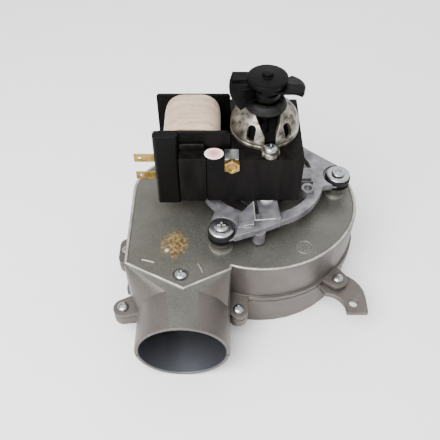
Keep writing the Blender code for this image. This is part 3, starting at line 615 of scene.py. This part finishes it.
brass, tree, shader, place = start_material("rolled_brass", {"Metallic": 1.0})
tarnish = noise(tree, place, 5, 2)
feed(tree, shader, {"Base Color": tone(tree, tarnish, 0.35, 0.65, "#846a36", "#b09055"),
                    "Roughness": span(tree, tarnish, 0.3, 0.7, 0.24, 0.38)})
relief(tree, shader, tarnish, 0.01)
for side in ("upper", "lower"):
    blade = cad_copy(f"terminal_{side}", f"blade_terminal_{side}")
    round_edges(blade, 0.15, 2)
    fit(blade, brass, "brass", "housing", f"terminal_{side}")


# Earth fixings
# Brass hexagon nut on the stack's front edge with its tinned tag folded over the top, and the spring
# clip that holds the bobbin on the core.

nut_low, nut_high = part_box("earth_nut")
middle = (nut_low + nut_high) / 2
thick = nut_high.y - nut_low.y
bpy.ops.object.select_all(action="DESELECT")
bpy.ops.mesh.primitive_cylinder_add(vertices=6, radius=5.25 * MM, depth=thick, location=middle,
                                    rotation=(math.pi / 2, 0, 0))
nut = bpy.context.object
nut.name = "earth_hexagon_nut"
bpy.ops.object.transform_apply(location=True, rotation=True, scale=True)
bpy.ops.object.mode_set(mode="EDIT")
bpy.ops.mesh.select_all(action="DESELECT")
bpy.ops.object.mode_set(mode="OBJECT")
for face in nut.data.polygons:
    face.select = face.normal.y < -0.9
bpy.ops.object.mode_set(mode="EDIT")
bpy.ops.mesh.select_mode(type="FACE")
bpy.ops.mesh.inset(thickness=1.9 * MM)
bpy.ops.mesh.inset(thickness=0.3 * MM, depth=-0.8 * MM)
bpy.ops.object.mode_set(mode="OBJECT")
round_edges(nut, 0.5, 3)
fit(nut, brass, "brass", "housing", "earth_nut")

blued, tree, shader, place = start_material("blued_spring_steel", {"Metallic": 0.9, "Roughness": 0.35})
feed(tree, shader, {"Base Color": tone(tree, noise(tree, place, 3), 0.35, 0.65, "#242322", "#3d3b3a")})
plates = (("earth_tag", "tinned_earth_tag", zinc), ("coil_clip", "bobbin_spring_clip", blued))
for source, name, look in plates:
    plate = cad_copy(source, name)
    round_edges(plate, 0.25, 2)
    fit(plate, look, "zinc_steel", "housing", source)


# Inspection label
# Round paper dot, white with a faded red middle, stuck across the stack's front edge.

low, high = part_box("inspection_label")
middle = (low + high) / 2
paper, tree, shader, place = start_material("printed_paper", {"Roughness": 0.55})
reach = distance(tree, place, (middle.x, middle.y, high.z))
wobble = add_node(tree, "Math", {0: reach, 1: span(tree, noise(tree, place, 1.5, 2), 0, 1, -0.0012, 0.0012)},
                  operation="ADD").outputs[0]
feed(tree, shader, {"Base Color": tone(tree, wobble, 0.0016, 0.0052, "#dc8d90", "#fde8e8")})
relief(tree, shader, noise(tree, place, 0.4, 3), 0.02)
label = cad_copy("inspection_label", "paper_dot", 0.02)
round_edges(label, 0.1, 2)
fit(label, paper, "label_paper", "housing", "inspection_label")


# Upper bracket
# Die-cast bell that holds the upper bearing: a turned bowl with cooling windows, a slot over each leg
# and two feet that are bolted through the stack. A black rubber cap closes its neck; it is also painted shade
# under the fan.

bell_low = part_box("upper_bracket")[0].z / MM
BELL = [(18.5, 0), (21.4, 0), (21.5, 0.4), (21.5, 2.2), (20.8, 2.6), (20.8, 3.4), (21.5, 3.8), (21.4, 6.4),
        (20.7, 9.2), (19.4, 12.2), (17.4, 14.9), (14.6, 17.2), (11.4, 19), (9.8, 20.4), (9.2, 21.6),
        (8.9, 23.5), (6.3, 23.5), (6.3, 15.5), (13.8, 12), (18.3, 5.5)]
BOLT_ANGLES = (-84, 96)
bell = turned("upper_bearing_bell", [(radius, bell_low + up) for radius, up in BELL], 0, 0, 64)


def about_axis(piece, angle):
    """Turns a tool shape about the shaft's axis."""
    centre = Matrix.Translation((AXIS.x, AXIS.y, 0))
    piece.data.transform(centre @ Matrix.Rotation(math.radians(angle), 4, "Z") @ centre.inverted())
    return piece


def splay(piece, factor):
    """Widens the top of an upright tool, so that it cuts a V."""
    middle = sum(vertex.co.z for vertex in piece.data.vertices) / len(piece.data.vertices)
    for vertex in piece.data.vertices:
        if vertex.co.z > middle:
            vertex.co.y = AXIS.y + (vertex.co.y - AXIS.y) * factor
    return piece


for angle in BOLT_ANGLES:
    foot = block((17, -5.4, bell_low), (27, 5.4, bell_low + 3.2))
    boolean(foot, rod(25.2, 0, bell_low, bell_low + 3.2, 4.9), "UNION")
    boolean(bell, about_axis(foot, angle), "UNION")
    lower_slot = block((12.5, -3.4, bell_low + 3.4), (30, 3.4, bell_low + 10))
    boolean(bell, about_axis(lower_slot, angle), "DIFFERENCE")
    upper_slot = splay(block((8.9, -3.4, bell_low + 9.5), (30, 3.4, bell_low + 21.8)), 2.7)
    boolean(bell, about_axis(upper_slot, angle), "DIFFERENCE")
    boolean(bell, about_axis(rod(24.5, 0, bell_low - 3, bell_low + 10, 2.3, 16), angle), "DIFFERENCE")
for angle in (-118, -50, 62, 130):
    window = block((12, -2.6, bell_low + 5), (30, 2.6, bell_low + 14.5))
    modify(window, "BEVEL", width=2.2 * MM, segments=4)
    boolean(bell, about_axis(window, angle), "DIFFERENCE")
round_edges(bell, 0.3, 2, 38)

# Die-cast zinc alloy, mottled by oil and dust outside, with painted shade inside: black in the bowl and up
# the neck.
BELL_PAINTED_SHADE_FADE = (0.0196, 0.0208)   # metres from the middle of the bell's foot, where the painted shade fades out
NECK_PAINTED_SHADE_FADE = (0.0115, 0.0125)     # metres from the axis, where the painted shade inside the neck fades out
oily_and_shaded, tree, shader, place = start_material("oily_die_casting_with_painted_shade", {"Metallic": 0.85})
mottle = noise(tree, place, 4.5, 5)
inner = distance(tree, place, at(0, 0, bell_low), (1, 1, 1.05))
colour = tone(tree, mottle, 0.36, 0.66, "#454239", "#a09b90")
colour = mix(tree, span(tree, inner, *BELL_PAINTED_SHADE_FADE, 1, 0), colour, "#060606")
neck = distance(tree, place, at(0, 0, 0), (1, 1, 0))
colour = mix(tree, span(tree, neck, *NECK_PAINTED_SHADE_FADE, 1, 0), colour, "#060606")
feed(tree, shader, {"Base Color": colour, "Roughness": span(tree, mottle, 0.3, 0.7, 0.5, 0.28)})
relief(tree, shader, mottle, 0.2)
fit(bell, oily_and_shaded, "carrier_casting", "housing", "upper_bracket")
# Black rubber ring over the neck, which also stands in for the shade under the fan.
neck_cap_and_shade = turned("neck_cap_and_painted_shade", [(9.2, bell_low + 19.2), (12.4, bell_low + 18), (12.9, bell_low + 18.9),
                          (11.6, bell_low + 22.3), (10.4, bell_low + 23.3), (9.2, bell_low + 23.3)], 0, 0, 48)
fit(neck_cap_and_shade, rubber, "black_rubber", "housing")

for number in (1, 2):
    x, y, low, high = centre_of(f"bracket_bolt_{number}")
    bolt = pan_screw(f"through_bolt_{number}", x, y, high - 2.8, low, 4.0, 2.8, 1.9)
    fit(bolt, zinc, "zinc_steel", "housing", f"bracket_bolt_{number}")


# Shaft and rotor
# Ground steel shaft, and the rotor on it: laminations with cast bars, turned and blacked in steam.

ground, tree, shader, place = start_material("ground_steel", {"Metallic": 1.0})
rings = add_node(tree, "Mapping", {"Vector": place, "Scale": (1, 1, 12)}).outputs[0]
marks = noise(tree, rings, 2, 3)
feed(tree, shader, {"Base Color": tone(tree, marks, 0.35, 0.65, "#7f8081", "#a9aaab"),
                    "Roughness": span(tree, marks, 0.3, 0.7, 0.16, 0.3)})
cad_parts["shaft"].data.materials.clear()
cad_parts["shaft"].data.materials.append(ground)

oxide, tree, shader, place = start_material("steam_oxidised_steel", {"Metallic": 0.6, "Roughness": 0.6})
feed(tree, shader, {"Base Color": tone(tree, noise(tree, place, 2.5), 0.35, 0.65, "#0a0908", "#191613")})
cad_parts["rotor_core"].data.materials.clear()
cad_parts["rotor_core"].data.materials.append(oxide)


# Impeller and heat slinger
# Pressings in zinc-coated sheet steel, spangled and dulled by flue gas.

sheet, tree, shader, place = start_material("galvanised_sheet", {"Metallic": 0.95})
spangle = add_node(tree, "TexVoronoi", {"Vector": place, "Scale": 1 / (4 * MM)}).outputs["Color"]
grey = add_node(tree, "RGBToBW", {0: spangle}).outputs[0]
feed(tree, shader, {"Base Color": tone(tree, grey, 0.2, 0.8, "#77777a", "#a3a4a6"),
                    "Roughness": span(tree, grey, 0, 1, 0.3, 0.5)})
for name in [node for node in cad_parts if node.startswith("impeller")] + ["heat_slinger"]:
    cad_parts[name].data.materials.clear()
    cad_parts[name].data.materials.append(sheet)


# Cooling fan
# Moulded in black nylon and pressed on the shaft: two broad swept blades on a hub with a disc on top.

plastic, tree, shader, place = start_material("black_moulded_nylon", {"Specular IOR Level": 0.08})
skin = noise(tree, place, 2.5, 3)
feed(tree, shader, {"Base Color": tone(tree, skin, 0.35, 0.7, "#030303", "#080708"),
                    "Roughness": span(tree, skin, 0.3, 0.7, 0.34, 0.5)})
relief(tree, shader, skin, 0.04)
fan = cad_copy("cooling_fan", "cooling_fan_moulding")
round_edges(fan, 0.3)
fit(fan, plastic, "fan_plastic", "rotor", "cooling_fan")


# Light
# One large soft light over the camera's left shoulder, a weaker one behind, and a pale room.

world = bpy.data.worlds.new("pale_room")
world.use_nodes = True
world.node_tree.nodes["Background"].inputs["Color"].default_value = (1, 1, 1, 1)
world.node_tree.nodes["Background"].inputs["Strength"].default_value = 1.05
bpy.context.scene.world = world
for name, direction, power, size in (("key", (-0.5, -0.75, 1.3), 15, 0.6), ("rear", (0.6, 1.0, 1.2), 3, 1.0)):
    light = aimed("AREA", name, Vector(direction), 800, at(-20, -20, 60))
    light.data.energy = power
    light.data.size = size
